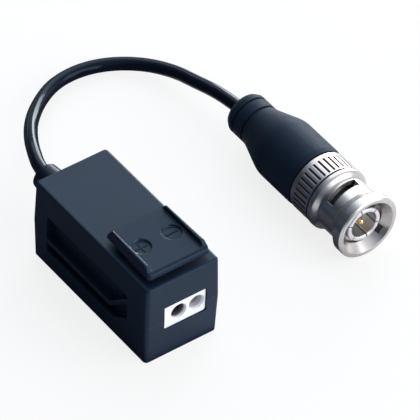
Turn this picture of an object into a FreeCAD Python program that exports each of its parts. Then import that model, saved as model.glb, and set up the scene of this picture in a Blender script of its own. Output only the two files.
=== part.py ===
import FreeCAD, Part
import math
import os
import Sketcher

# A one-channel video balun: a small two-part housing with a press lever over a two-pole
# spring terminal, and a coaxial pigtail that ends in a bayonet plug.
# Frame: X across the housing, -Y out of the terminal face, +Y out of the cable end, Z up.
# The origin is the middle of the housing's underside.

os.makedirs("parts", exist_ok=True)
doc = FreeCAD.newDocument("VideoBalun")
sheet = doc.addObject("Spreadsheet::Sheet", "Sizes")

# Driving dimensions in millimetres (angles in degrees)
DIMENSIONS = [
    # Housing
    ("body_width", 18.0), ("body_length", 39.0), ("body_height", 19.9), ("parting_height", 9.8),
    ("draft_inset", 0.25), ("corner_radius", 0.9), ("bottom_radius", 0.25), ("top_radius", 0.6),
    ("wall", 1.4), ("left_wall", 3.0), ("roof", 1.4), ("floor_wall", 1.4),
    ("seam_lip_height", 0.8), ("seam_lip_width", 0.6), ("seam_clearance", 0.1),
    # Side interlock
    ("recess_depth", 1.8), ("recess_front", 13.0), ("recess_rear", 14.6), ("pocket_top", 14.3),
    ("pocket_ramp", 3.3), ("strip_low", 6.7), ("strip_width", 1.2), ("channel_low", 4.4),
    ("strip_bend", 7.0), ("strip_rise", 5.4), ("rail_height", 1.5), ("rail_clearance", 0.25),
    # Terminal
    ("window_left", -4.5), ("window_width", 10.3), ("window_low", 7.3), ("window_height", 6.1),
    ("window_radius", 0.6), ("terminal_recess", 0.15), ("terminal_gap", 0.08),
    ("pole_left", -0.8), ("pole_pitch", 4.35), ("wire_height", 10.4), ("funnel_radius", 1.9),
    ("wire_radius", 1.3), ("funnel_depth", 1.4), ("terminal_rear", 8.6), ("terminal_height", 9.0),
    ("shoulder_overlap", 0.7), ("chamber_half", 1.75), ("chamber_front", 15.2),
    ("chamber_top", 14.1), ("chamber_floor", 6.9), ("contact_top", 9.0), ("contact_width", 2.4),
    ("contact_thickness", 0.5), ("leaf_thickness", 0.3), ("tail_back", 9.4),
    # Release buttons
    ("button_radius", 1.4), ("button_back", 13.0), ("button_clearance", 0.08),
    ("button_foot_radius", 1.62), ("button_foot_height", 0.6), ("button_foot_low", 12.35),
    ("button_dome", 0.35), ("button_gap", 0.05), ("roof_hole_clearance", 0.2),
    # Press lever
    ("lever_front", 17.9), ("lever_rear", 2.6), ("lever_front_half", 7.5), ("lever_rear_half", 7.05),
    ("lever_gap", 1.3), ("lever_depth", 2.3), ("scoop_depth", 1.0), ("lever_plate", 1.0),
    ("lever_rim", 0.85), ("lever_roll", 0.95), ("lever_lip", 1.9), ("lever_slope", 1.5),
    ("lever_tail_drop", 2.1), ("lever_corner", 0.8), ("lever_draft", 0.4), ("rim_radius", 0.18),
    ("disc_radius", 2.05), ("disc_depth", 0.45), ("disc_back", 10.0), ("disc_offset", 3.7),
    ("hinge_back", 5.2), ("hinge_below_roof", 2.9), ("hinge_pin_radius", 0.8),
    ("hinge_clearance", 0.05), ("arm_width", 1.5), ("arm_radius", 1.2), ("arm_offset", 4.65),
    ("arm_gap", 0.15), ("arm_slot_clearance", 0.5), ("boss_radius", 1.7), ("pin_end_gap", 0.15),
    # Circuit board and what stands on it
    ("board_bottom", 4.8), ("board_thickness", 1.2), ("board_gap", 0.15), ("board_rear", 15.8),
    ("ledge_width", 0.8), ("lead_radius", 0.3), ("lead_clearance", 0.05), ("lead_stub", 0.6),
    ("core_outer", 4.0), ("core_inner", 2.0), ("core_height", 3.4), ("core_back", 1.5),
    ("core_edge", 0.5), ("turn_radius", 0.3), ("turn_gap", 0.03), ("turn_count", 5),
    ("winding_sweep", 120), ("post_radius", 0.9), ("post_back", 14.4), ("post_inset", 1.5),
    ("surge_across", -3.4), ("surge_back", 9.3), ("surge_radius", 1.4), ("surge_length", 4.8),
    ("surge_span", 3.6), ("resistor_across", 5.4), ("resistor_radius", 0.95),
    ("resistor_length", 3.6), ("resistor_span", 2.9), ("capacitor_across", 1.2),
    ("capacitor_back", -5.75), ("capacitor_radius", 2.3), ("capacitor_width", 1.8),
    ("capacitor_span", 1.25), ("wire_foot_back", 13.0), ("wire_foot_across", 1.6),
    # Strain relief and cable
    ("relief_length", 9.2), ("relief_base_radius", 3.9), ("relief_end_radius", 3.1),
    ("relief_tip_radius", 2.15), ("relief_tip_length", 2.0), ("relief_neck_radius", 3.3),
    ("relief_flange_radius", 4.1), ("relief_flange", 1.0), ("relief_bore", 1.2),
    ("relief_grip", 6.7), ("cable_radius", 1.475), ("ring_groove_width", 0.55),
    ("ring_groove_depth", 0.35), ("ring_groove_pitch", 2.2), ("core_wire_radius", 0.4),
    # Plug
    ("plug_across", 46.5), ("mouth_back", -19.2), ("flange_radius", 7.35), ("nut_radius", 7.2),
    ("nut_length", 17.1), ("nut_bore", 4.95), ("mouth_chamfer", 1.35), ("flange_length", 2.2),
    ("flange_taper", 1.9), ("barrel_radius", 6.15), ("barrel_end", 8.9),
    ("shoulder_length", 1.1), ("shoulder_round", 0.8), ("ring_end", 11.0),
    ("nut_groove_width", 0.45), ("nut_groove_depth", 0.5), ("rear_bore", 3.7),
    ("nut_web_front", 14.2), ("nut_web_rear", 15.7), ("rear_counterbore", 5.5),
    ("knurl_count", 36), ("knurl_depth", 0.5), ("knurl_width", 0.55), ("knurl_rim", 0.35),
    ("knurl_rear_rim", 1.3), ("slot_width", 1.9), ("slot_start", 6.9), ("slot_rise", 0.7),
    ("slot_angle", 40), ("slot_sweep", 75), ("lead_in_width", 1.9), ("lead_in_depth", 0.7),
    ("contact_radius", 4.05), ("contact_wall", 0.95), ("contact_mouth", 1.3), ("contact_end", 6.7),
    ("neck_radius", 3.6), ("slit_count", 6), ("slit_width", 0.25), ("slit_length", 5.1),
    ("slit_angle", 13), ("collar_front", 10.8), ("collar_length", 1.2), ("collar_radius", 4.8),
    ("clip_front", 15.95), ("clip_thickness", 0.6), ("clip_depth", 0.5), ("clip_radius", 5.2),
    ("clip_gap_angle", 50), ("body_shoulder_front", 17.7), ("body_shoulder_length", 2.6),
    ("body_shoulder_radius", 4.6), ("stem_radius", 1.95), ("stem_end", 26.0), ("stem_bore", 1.2),
    ("seat_radius", 2.6), ("seat_front", 7.6), ("seat_rear", 13.5), ("insulator_front", 6.4),
    ("insulator_gap", 0.03), ("insulator_nose_radius", 1.7), ("pin_radius", 0.675),
    ("pin_front", 1.9), ("pin_tip", 0.9), ("pin_end", 6.1), ("pin_neck_radius", 0.45),
    ("pin_cup_radius", 0.9), ("pin_cup_length", 2.6), ("washer_thickness", 0.4),
    ("washer_outer", 4.75), ("wave_height", 0.9), ("wave_thickness", 0.22), ("wave_count", 3),
    ("gasket_length", 0.9), ("gasket_outer", 4.7), ("ferrule_front", 21.8),
    ("ferrule_rear", 36.8), ("ferrule_wall", 0.5),
    # Plug boot
    ("boot_front", 17.3), ("boot_rear", 42.0), ("boot_radius", 7.15), ("boot_front_radius", 7.0),
    ("boot_front_bevel", 1.2), ("boot_shoulder", 28.8), ("boot_neck_start", 36.0),
    ("boot_neck_radius", 4.8), ("boot_end_radius", 4.35), ("boot_shoulder_round", 8.0),
    ("boot_neck_round", 5.0), ("boot_end_round", 0.9), ("boot_ring_first", 36.7),
    ("boot_ring_pitch", 3.1), ("boot_ring_width", 0.55), ("boot_ring_depth", 0.35),
]
for row, (alias, amount) in enumerate(DIMENSIONS, start=1):
    sheet.set("A%d" % row, alias)
    sheet.set("B%d" % row, str(amount))
    sheet.setAlias("B%d" % row, alias)
doc.recompute()


class Term:
    """A size worked out from the sheet: its value, and the expression that keeps it bound."""

    def __init__(self, text, value):
        self.text = text
        self.value = value

    def __add__(self, other):
        return Term("(%s + %s)" % (self.text, text_of(other)), self.value + value_of(other))

    def __sub__(self, other):
        return Term("(%s - %s)" % (self.text, text_of(other)), self.value - value_of(other))

    def __mul__(self, other):
        return Term("(%s * %s)" % (self.text, text_of(other)), self.value * value_of(other))

    def __truediv__(self, other):
        return Term("(%s / %s)" % (self.text, text_of(other)), self.value / value_of(other))

    def __neg__(self):
        return Term("(0 - %s)" % self.text, -self.value)

    def __radd__(self, other):
        return Term("%s" % text_of(other), value_of(other)) + self

    def __rsub__(self, other):
        return Term("%s" % text_of(other), value_of(other)) - self

    def __rmul__(self, other):
        return self * other

    def __float__(self):
        return float(self.value)


def text_of(size):
    return size.text if isinstance(size, Term) else repr(size)


def value_of(size):
    return size.value if isinstance(size, Term) else size


class Sizes:
    """Every driving dimension by its name in the sheet."""


for alias, amount in DIMENSIONS:
    setattr(Sizes, alias, Term("Sizes.%s" % alias, float(sheet.get(alias))))
S = Sizes


# Ways of drawing that all the pieces share

def bind(thing, prop, size):
    """Tie one property of a document object to a size."""
    if isinstance(size, Term):
        thing.setExpression(prop, size.text)
    else:
        setattr(thing, prop, size)


def put(thing, x=0, y=0, z=0, turn=None):
    """Place a document object, with each coordinate tied to its size."""
    rotation = turn if turn is not None else FreeCAD.Rotation()
    place = FreeCAD.Vector(value_of(x), value_of(y), value_of(z))
    thing.Placement = FreeCAD.Placement(place, rotation)
    for axis, size in (("x", x), ("y", y), ("z", z)):
        if isinstance(size, Term):
            thing.setExpression("Placement.Base." + axis, size.text)
    return thing


def outline(sketch, corners):
    """A closed outline of straight sides whose corners are tied to the sheet."""
    first = sketch.GeometryCount
    points = [FreeCAD.Vector(value_of(a), value_of(b), 0) for a, b in corners]
    for index, start in enumerate(points):
        sketch.addGeometry(Part.LineSegment(start, points[(index + 1) % len(points)]), False)
    for index, (across, along) in enumerate(corners):
        side = first + index
        before = first + (index - 1) % len(corners)
        sketch.addConstraint(Sketcher.Constraint("Coincident", before, 2, side, 1))
        for kind, size in (("DistanceX", across), ("DistanceY", along)):
            number = sketch.addConstraint(
                Sketcher.Constraint(kind, -1, 1, side, 1, value_of(size)))
            if isinstance(size, Term):
                sketch.setExpression("Constraints[%d]" % number, size.text)


def rectangle(sketch, low_a, high_a, low_b, high_b):
    outline(sketch, [(low_a, low_b), (high_a, low_b), (high_a, high_b), (low_a, high_b)])


def circle(sketch, across, along, radius):
    """A circle whose centre and radius are tied to the sheet."""
    centre = FreeCAD.Vector(value_of(across), value_of(along), 0)
    index = sketch.addGeometry(
        Part.Circle(centre, FreeCAD.Vector(0, 0, 1), value_of(radius)), False)
    rules = [("DistanceX", across), ("DistanceY", along)]
    for kind, size in rules:
        number = sketch.addConstraint(
            Sketcher.Constraint(kind, -1, 1, index, 3, value_of(size)))
        if isinstance(size, Term):
            sketch.setExpression("Constraints[%d]" % number, size.text)
    number = sketch.addConstraint(Sketcher.Constraint("Radius", index, value_of(radius)))
    if isinstance(radius, Term):
        sketch.setExpression("Constraints[%d]" % number, radius.text)


def new_body(name):
    body = doc.addObject("PartDesign::Body", name)
    body.Label = name
    return body


def new_sketch(body, name, plane, offset=0):
    """A sketch on one of the body's own planes, moved along that plane's normal."""
    sketch = body.newObject("Sketcher::SketchObject", name)
    support = [item for item in body.Origin.OriginFeatures if item.Role == plane][0]
    sketch.AttachmentSupport = (support, [""])
    sketch.MapMode = "FlatFace"
    if isinstance(offset, Term):
        sketch.setExpression("AttachmentOffset.Base.z", offset.text)
    else:
        sketch.AttachmentOffset = FreeCAD.Placement(
            FreeCAD.Vector(0, 0, offset), FreeCAD.Rotation())
    return sketch


def settle(feature):
    """Recompute, and stop at the feature that fails."""
    doc.recompute()
    if "Invalid" in feature.State:
        raise ValueError(feature.Name + " failed")
    return feature


def pad(body, name, sketch, length, reverse=False):
    feature = body.newObject("PartDesign::Pad", name)
    feature.Profile = sketch
    feature.Reversed = reverse
    bind(feature, "Length", length)
    return settle(feature)


def pocket(body, name, sketch, length, reverse=False):
    """Cut away, and stop if the cut missed the solid."""
    before = body.Shape.Volume
    feature = body.newObject("PartDesign::Pocket", name)
    feature.Profile = sketch
    feature.Reversed = reverse
    bind(feature, "Length", length)
    settle(feature)
    if body.Shape.Volume > before - 1e-6:
        raise ValueError(name + " cuts nothing")
    return feature


def revolve(body, name, sketch, axis="H_Axis", cut=False):
    kind = "PartDesign::Groove" if cut else "PartDesign::Revolution"
    feature = body.newObject(kind, name)
    feature.Profile = sketch
    feature.ReferenceAxis = (sketch, [axis])
    feature.Angle = 360
    return settle(feature)


def dress(body, kind, name, radius, chosen):
    """Round or bevel the edges of the body's last shape that the test picks."""
    base = body.Tip
    names = ["Edge%d" % (index + 1) for index, edge in enumerate(base.Shape.Edges)
             if chosen(edge)]
    feature = body.newObject("PartDesign::" + kind, name)
    feature.Base = (base, names)
    bind(feature, "Radius" if kind == "Fillet" else "Size", radius)
    return settle(feature)


def near(value, size, slack=0.02):
    return abs(value - value_of(size)) < slack


def ends(edge):
    return [vertex.Point for vertex in edge.Vertexes]


def level(edge, axis, size):
    """True where the whole edge lies at this value of x, y or z."""
    return all(near(getattr(point, axis), size) for point in ends(edge))


def solid_feature(name, shape, x=0, y=0, z=0):
    """A piece whose form neither a body nor a primitive gives."""
    feature = doc.addObject("Part::Feature", name)
    feature.Label = name
    feature.Shape = shape
    feature.Placement = FreeCAD.Placement(
        FreeCAD.Vector(value_of(x), value_of(y), value_of(z)), FreeCAD.Rotation())
    return feature


def box(name, low, high):
    """A block between two corners."""
    block = doc.addObject("Part::Box", name)
    for prop, a, b in (("Length", low[0], high[0]), ("Width", low[1], high[1]),
                       ("Height", low[2], high[2])):
        size = (b if isinstance(b, Term) else Term(repr(b), b)) - a
        bind(block, prop, size)
    return put(block, *low)


def cylinder(name, radius, length, x=0, y=0, z=0, turn=None):
    rod = doc.addObject("Part::Cylinder", name)
    bind(rod, "Radius", radius)
    bind(rod, "Height", length)
    return put(rod, x, y, z, turn)


def cut(name, base, tools):
    """One object less the others."""
    if len(tools) > 1:
        tool = fuse(name + "_tools", tools)
    else:
        tool = tools[0]
    result = doc.addObject("Part::Cut", name)
    result.Base = base
    result.Tool = tool
    result.Refine = False
    result.Label = name
    return result


def fuse(name, items):
    result = doc.addObject("Part::MultiFuse", name)
    result.Shapes = items
    result.Label = name
    return result


ALONG_X = FreeCAD.Rotation(FreeCAD.Vector(0, 1, 0), 90)
ALONG_Y = FreeCAD.Rotation(FreeCAD.Vector(1, 0, 0), -90)


def rounded_route(points, bend=None):
    """Straight runs joined by tangent arcs; with no bend given, each arc takes 0.45 of the
    shorter run beside it."""
    points = [FreeCAD.Vector(*point) for point in points]
    edges = []
    radii = []
    start = points[0]
    for before, corner, after in zip(points, points[1:], points[2:]):
        back = (before - corner)
        onward = (after - corner)
        shorter = min(back.Length, onward.Length)
        back.normalize()
        onward.normalize()
        half_turn = (math.pi - back.getAngle(onward)) / 2
        if bend is None:
            reach = 0.45 * shorter
        else:
            reach = min(bend * math.tan(half_turn), 0.45 * shorter)
        radii.append(reach / math.tan(half_turn))
        middle = (back + onward).normalize()
        depth = radii[-1] / math.cos(half_turn) - radii[-1]
        enter = corner + back * reach
        leave = corner + onward * reach
        if (enter - start).Length > 1e-6:
            edges.append(Part.LineSegment(start, enter).toShape())
        edges.append(Part.Arc(enter, corner + middle * depth, leave).toShape())
        start = leave
    edges.append(Part.LineSegment(start, points[-1]).toShape())
    return Part.Wire(edges), radii


def swept(path, section):
    """A closed solid of one section along a path."""
    pipe = path.makePipeShell([section], True, False)
    return pipe


def round_rod(points, radius, bend=None):
    path, radii = rounded_route(points, bend)
    direction = FreeCAD.Vector(*points[1]) - FreeCAD.Vector(*points[0])
    section = Part.Wire(Part.Circle(FreeCAD.Vector(*points[0]), direction, radius).toShape())
    return swept(path, section), path, radii


def flat_strip(points, width, thickness, bend, x):
    """A bent strip in a lengthwise upright plane, centred across on x."""
    path, radii = rounded_route([(x, y, z) for y, z in points], bend)
    first = FreeCAD.Vector(x, *points[0])
    run = FreeCAD.Vector(x, *points[1]) - first
    run.normalize()
    across = FreeCAD.Vector(width / 2, 0, 0)
    through = run.cross(FreeCAD.Vector(1, 0, 0)) * (thickness / 2)
    corners = [first + across + through, first + across - through,
               first - across - through, first - across + through]
    section = Part.makePolygon(corners + corners[:1])
    return swept(path, section)


# Sizes that several pieces share
half_width = S.body_width / 2
half_length = S.body_length / 2
cavity_left = S.left_wall - half_width
cavity_right = half_width - S.wall
cavity_end = half_length - S.wall
roof_underside = S.body_height - S.roof
middle = (cavity_left + cavity_right) / 2
board_top = S.board_bottom + S.board_thickness
window_right = S.window_left + S.window_width
window_top = S.window_low + S.window_height
poles = {"plus": S.pole_left, "minus": S.pole_left + S.pole_pitch}
arm_places = [middle - S.arm_offset, middle + S.arm_offset]
front_face = S.draft_inset - half_length
nut_rear = S.nut_length
lever_bottom = S.body_height + S.lever_gap
lever_top = lever_bottom + S.lever_depth
lever_floor = lever_top - S.scoop_depth
hinge_height = S.body_height - S.hinge_below_roof


# Side interlock: a ramped pocket and a hooked channel with a strip of wall left between them

def interlock_tools():
    """What is cut from the left wall, shared by both shells."""
    outer = -half_width - 1.0
    inner = S.recess_depth - half_width
    front = -S.recess_front
    bend = -S.strip_bend
    strip_top = S.strip_low + S.strip_width

    profile = doc.addObject("Sketcher::SketchObject", "pocket_outline")
    outline(profile, [(S.recess_rear, strip_top), (S.recess_rear, S.pocket_top),
                      (front, S.pocket_top),
                      (front, strip_top + S.strip_rise), (bend, strip_top)])
    channel = doc.addObject("Sketcher::SketchObject", "channel_outline")
    outline(channel, [(S.recess_rear, S.channel_low), (S.recess_rear, S.strip_low),
                      (bend, S.strip_low), (front, S.strip_low + S.strip_rise),
                      (front, S.channel_low + S.strip_rise * 0.6), (bend - 1.2, S.channel_low)])
    solids = []
    for sketch in (profile, channel):
        put(sketch, outer, 0, 0, FreeCAD.Rotation(FreeCAD.Vector(0, 1, 0), FreeCAD.Vector(0, 0, 1),
                                                  FreeCAD.Vector(1, 0, 0), "ZXY"))
        run = doc.addObject("Part::Extrusion", sketch.Name.replace("outline", "block"))
        run.Base = sketch
        run.DirMode = "Custom"
        run.Dir = FreeCAD.Vector(1, 0, 0)
        run.Solid = True
        bind(run, "LengthFwd", inner - outer)
        solids.append(run)
    ramp = doc.addObject("Sketcher::SketchObject", "pocket_ramp_outline")
    outline(ramp, [(outer, 0), (inner, 0), (inner, S.pocket_top - S.pocket_ramp),
                   (-half_width, S.pocket_top - S.draft_inset), (outer, S.pocket_top)])
    put(ramp, 0, S.recess_rear + 1.0, 0,
        FreeCAD.Rotation(FreeCAD.Vector(1, 0, 0), FreeCAD.Vector(0, 0, 1),
                         FreeCAD.Vector(0, -1, 0), "ZXY"))
    sloped = doc.addObject("Part::Extrusion", "pocket_ramp_block")
    sloped.Base = ramp
    sloped.DirMode = "Custom"
    sloped.Dir = FreeCAD.Vector(0, -1, 0)
    sloped.Solid = True
    bind(sloped, "LengthFwd", S.recess_rear + S.recess_front + 2.0)
    pocket_solid = doc.addObject("Part::Common", "pocket_tool")
    pocket_solid.Base = solids[0]
    pocket_solid.Tool = sloped
    return fuse("interlock_tool", [pocket_solid, solids[1]])


interlock = interlock_tools()


def shell_blank(name, depth, downward):
    """A block padded from the parting plane, with draft and rounded upright corners."""
    body = new_body(name)
    plan = new_sketch(body, name + "_plan", "XY_Plane", S.parting_height)
    rectangle(plan, -half_width, half_width, -half_length, half_length)
    block = pad(body, name + "_block", plan, depth, downward)
    draft = body.newObject("PartDesign::Draft", name + "_draft")
    faces = block.Shape.Faces
    draft.Base = (block, ["Face%d" % (index + 1) for index, face in enumerate(faces)
                          if abs(face.normalAt(0, 0).z) < 0.5])
    draft.NeutralPlane = (block, ["Face%d" % (index + 1) for index, face in enumerate(faces)
                                  if near(face.CenterOfMass.z, S.parting_height)])
    draft.Reversed = downward
    draft.setExpression("Angle", "atan(%s / %s)" % (S.draft_inset.text, depth.text))
    settle(draft)
    dress(body, "Fillet", name + "_corners", S.corner_radius,
          lambda edge: abs(ends(edge)[0].z - ends(edge)[1].z) > 1)
    return body


def cavity(body, name, start, depth, grow, reverse):
    """Hollow from the parting plane, wider by grow."""
    sketch = new_sketch(body, name, "XY_Plane", start)
    rectangle(sketch, cavity_left - grow, cavity_right + grow,
              -cavity_end - grow, cavity_end + grow)
    pocket(body, name + "_cut", sketch, depth, reverse)


def window_and_relief_holes(body, name):
    """The terminal's window and the round seat of the strain relief."""
    sketch = new_sketch(body, name + "_window", "XZ_Plane", half_length + 1.0)
    rectangle(sketch, S.window_left, window_right, S.window_low, window_top)
    pocket(body, name + "_window_cut", sketch, S.wall + 1.0 + 0.5)
    sketch = new_sketch(body, name + "_relief", "XZ_Plane", -(cavity_end - 1.0))
    circle(sketch, 0, S.parting_height, S.relief_neck_radius)
    pocket(body, name + "_relief_cut", sketch, S.wall + 2.0)


def key_block(body, name, low, high):
    """Part of the raised key on the right wall that slides into a neighbour's pocket."""
    sketch = new_sketch(body, name, "YZ_Plane", half_width - S.wall / 2)
    gap = S.rail_clearance
    rectangle(sketch, -S.strip_bend + gap, S.recess_rear - gap, low, high)
    pad(body, name + "_pad", sketch, S.wall / 2 + S.rail_height)


# Lower shell: tray with a seam lip, board ledges and the mating rail
lower = shell_blank("lower_shell", S.parting_height, True)
dress(lower, "Fillet", "lower_shell_foot", S.bottom_radius, lambda edge: level(edge, "z", 0))
cavity(lower, "lower_cavity", S.parting_height, S.parting_height - S.floor_wall, 0, False)
lip = new_sketch(lower, "seam_lip", "XY_Plane", S.parting_height)
rectangle(lip, cavity_left - S.seam_lip_width, cavity_right + S.seam_lip_width,
          -cavity_end - S.seam_lip_width, cavity_end + S.seam_lip_width)
rectangle(lip, cavity_left, cavity_right, -cavity_end, cavity_end)
pad(lower, "seam_lip_pad", lip, S.seam_lip_height)
ledges = new_sketch(lower, "board_ledges", "XY_Plane", S.floor_wall - 0.5)
for low_x, high_x in ((cavity_left - 0.5, cavity_left + S.ledge_width),
                      (cavity_right - S.ledge_width, cavity_right + 0.5)):
    rectangle(ledges, low_x, high_x, -cavity_end - 0.5, cavity_end + 0.5)
pad(lower, "board_ledges_pad", ledges, S.board_bottom - S.floor_wall + 0.5)
key_block(lower, "lower_key", S.strip_low + S.strip_width + S.rail_clearance, S.parting_height)
key_block(lower, "channel_rail", S.channel_low + S.rail_clearance, S.strip_low - S.rail_clearance)
window_and_relief_holes(lower, "lower_shell")
lower_shell = cut("lower_shell_piece", lower, [interlock])

# Upper shell: hood with the roof openings, hinge bosses and hold-downs
upper = shell_blank("upper_shell", S.body_height - S.parting_height, False)
dress(upper, "Fillet", "upper_shell_top", S.top_radius,
      lambda edge: level(edge, "z", S.body_height))
cavity(upper, "upper_cavity", S.parting_height, roof_underside - S.parting_height, 0, True)
cavity(upper, "seam_rebate", S.parting_height, S.seam_lip_height + S.seam_clearance,
       S.seam_lip_width + S.seam_clearance, True)
key_block(upper, "upper_key", S.parting_height,
          S.pocket_top - S.pocket_ramp - S.rail_clearance)
bosses = new_sketch(upper, "hinge_bosses", "XY_Plane", roof_underside + 0.5)
for low_x, high_x in ((cavity_left - 0.3, arm_places[0] - S.arm_width / 2 - S.arm_gap),
                      (arm_places[1] + S.arm_width / 2 + S.arm_gap, cavity_right + 0.3)):
    rectangle(bosses, low_x, high_x, -S.hinge_back - S.boss_radius, S.boss_radius - S.hinge_back)
pad(upper, "hinge_bosses_pad", bosses,
    roof_underside + 0.5 - hinge_height + S.boss_radius, True)
holds = new_sketch(upper, "terminal_hold_down", "XY_Plane", roof_underside + 0.5)
rectangle(holds, cavity_left + S.terminal_gap, cavity_right - S.terminal_gap,
          -cavity_end - 0.3, 0.9 - cavity_end)
pad(upper, "terminal_hold_down_pad", holds,
    roof_underside + 0.5 - board_top - S.terminal_height, True)
posts = new_sketch(upper, "board_posts", "XY_Plane", roof_underside + 0.5)
for across in (cavity_left + S.post_inset, cavity_right - S.post_inset):
    circle(posts, across, S.post_back, S.post_radius)
pad(upper, "board_posts_pad", posts, roof_underside + 0.5 - board_top, True)
openings = new_sketch(upper, "roof_openings", "XY_Plane", roof_underside - 0.1)
for across in poles.values():
    circle(openings, across, -S.button_back, S.button_radius + S.roof_hole_clearance)
for across in arm_places:
    rectangle(openings, across - S.arm_width / 2 - S.arm_gap,
              across + S.arm_width / 2 + S.arm_gap,
              -S.hinge_back - S.arm_radius - S.arm_slot_clearance,
              S.arm_radius + S.arm_slot_clearance - S.hinge_back)
pocket(upper, "roof_openings_cut", openings, S.roof + 0.2, True)
pin_seat = new_sketch(upper, "hinge_pin_seat", "YZ_Plane", cavity_left)
circle(pin_seat, -S.hinge_back, hinge_height, S.hinge_pin_radius)
pocket(upper, "hinge_pin_seat_cut", pin_seat, cavity_right - cavity_left, True)
window_and_relief_holes(upper, "upper_shell")
upper_shell = cut("upper_shell_piece", upper, [interlock])

# Hinge pin: steel, held in the roof's two bosses
lever_pin = cylinder("lever_pin", S.hinge_pin_radius,
                     cavity_right - cavity_left - 2 * S.pin_end_gap,
                     cavity_left + S.pin_end_gap, -S.hinge_back, hinge_height, ALONG_X)

# Press lever: a scooped plate between two rims, with a rolled front edge and two hinge arms
lever = new_body("press_lever")
plan = new_sketch(lever, "lever_plan", "XY_Plane", lever_bottom)
outline(plan, [(-S.lever_front_half, -S.lever_front), (S.lever_front_half, -S.lever_front),
               (S.lever_rear_half, -S.lever_rear), (-S.lever_rear_half, -S.lever_rear)])
lever_block = pad(lever, "lever_block", plan, lever_top - lever_bottom)
lever_draft = lever.newObject("PartDesign::Draft", "lever_draft")
lever_faces = lever_block.Shape.Faces
lever_draft.Base = (lever_block, ["Face%d" % (index + 1) for index, face in enumerate(lever_faces)
                                  if abs(face.normalAt(0, 0).z) < 0.5])
lever_draft.NeutralPlane = (lever_block, ["Face%d" % (index + 1)
                                          for index, face in enumerate(lever_faces)
                                          if near(face.CenterOfMass.z, lever_bottom)])
lever_draft.setExpression("Angle", "atan(%s / %s)" % (
    S.lever_draft.text, (lever_top - lever_bottom).text))
settle(lever_draft)
dress(lever, "Fillet", "lever_corners", S.lever_corner,
      lambda edge: abs(ends(edge)[0].z - ends(edge)[1].z) > 1)
scoop = new_sketch(lever, "lever_scoop", "YZ_Plane", S.lever_rim - S.lever_rear_half)
outline(scoop, [(-S.lever_front - 1.0, lever_floor), (-S.lever_rear + 1.0, lever_floor),
                (-S.lever_rear + 1.0, lever_top + 1.0),
                (-S.lever_front - 1.0, lever_top + 1.0)])
pocket(lever, "lever_scoop_cut", scoop, (S.lever_rear_half - S.lever_rim) * 2, True)
roll = []
for step in range(7):
    turn = math.radians(15 * step)
    roll.append((S.lever_roll * (1 - math.cos(turn)) - S.lever_front,
                 lever_floor - S.lever_roll * (1 - math.sin(turn))))
nose = new_sketch(lever, "lever_front_roll", "YZ_Plane", -S.lever_front_half - 1.0)
outline(nose, [(-S.lever_front - 0.5, lever_floor - S.lever_roll - 0.2)] + roll
        + [(S.lever_lip - S.lever_front, lever_top),
           (S.lever_lip - S.lever_front + 0.2, lever_top + 0.5),
           (-S.lever_front - 0.5, lever_top + 0.5)])
pocket(lever, "lever_front_roll_cut", nose, S.lever_front_half * 2 + 2.0, True)
tail = new_sketch(lever, "lever_rear_slope", "YZ_Plane", -S.lever_front_half - 1.0)
outline(tail, [(0.5 - S.lever_rear, lever_top - S.lever_tail_drop - 0.2),
               (-S.lever_rear, lever_top - S.lever_tail_drop),
               (-S.lever_rear - S.lever_slope, lever_top),
               (-S.lever_rear - S.lever_slope - 0.2, lever_top + 0.5),
               (0.5 - S.lever_rear, lever_top + 0.5)])
pocket(lever, "lever_rear_slope_cut", tail, S.lever_front_half * 2 + 2.0, True)
hollow = new_sketch(lever, "lever_hollow", "XY_Plane", lever_bottom)
inset_front = S.lever_front_half - S.lever_rim
inset_rear = S.lever_rear_half - S.lever_rim
outline(hollow, [(-inset_front, S.lever_rim - S.lever_front),
                 (inset_front, S.lever_rim - S.lever_front),
                 (inset_rear, -S.lever_rear - S.lever_rim),
                 (-inset_rear, -S.lever_rear - S.lever_rim)])
pocket(lever, "lever_hollow_cut", hollow, lever_floor - S.lever_plate - lever_bottom, True)
discs = new_sketch(lever, "polarity_discs", "XY_Plane", lever_floor)
for across in (-S.disc_offset, S.disc_offset):
    circle(discs, across, -S.disc_back, S.disc_radius)
pocket(lever, "polarity_discs_cut", discs, S.disc_depth)
for side, across in zip(("left", "right"), arm_places):
    arm = new_sketch(lever, "lever_%s_arm" % side, "YZ_Plane", across - S.arm_width / 2)
    rectangle(arm, -S.hinge_back - S.arm_radius, S.arm_radius - S.hinge_back,
              hinge_height, lever_floor - S.lever_plate + 0.3)
    pad(lever, "lever_%s_arm_pad" % side, arm, S.arm_width)
    knuckle = new_sketch(lever, "lever_%s_knuckle" % side, "YZ_Plane", across - S.arm_width / 2)
    circle(knuckle, -S.hinge_back, hinge_height, S.arm_radius)
    pad(lever, "lever_%s_knuckle_pad" % side, knuckle, S.arm_width)
eye = new_sketch(lever, "lever_eye", "YZ_Plane", cavity_left)
circle(eye, -S.hinge_back, hinge_height, S.hinge_pin_radius + S.hinge_clearance)
pocket(lever, "lever_eye_cut", eye, cavity_right - cavity_left, True)
shortest_rim_edge = 3.0
dress(lever, "Fillet", "lever_rim_edges", S.rim_radius,
      lambda edge: level(edge, "z", lever_top) and edge.Length > shortest_rim_edge)

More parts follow.
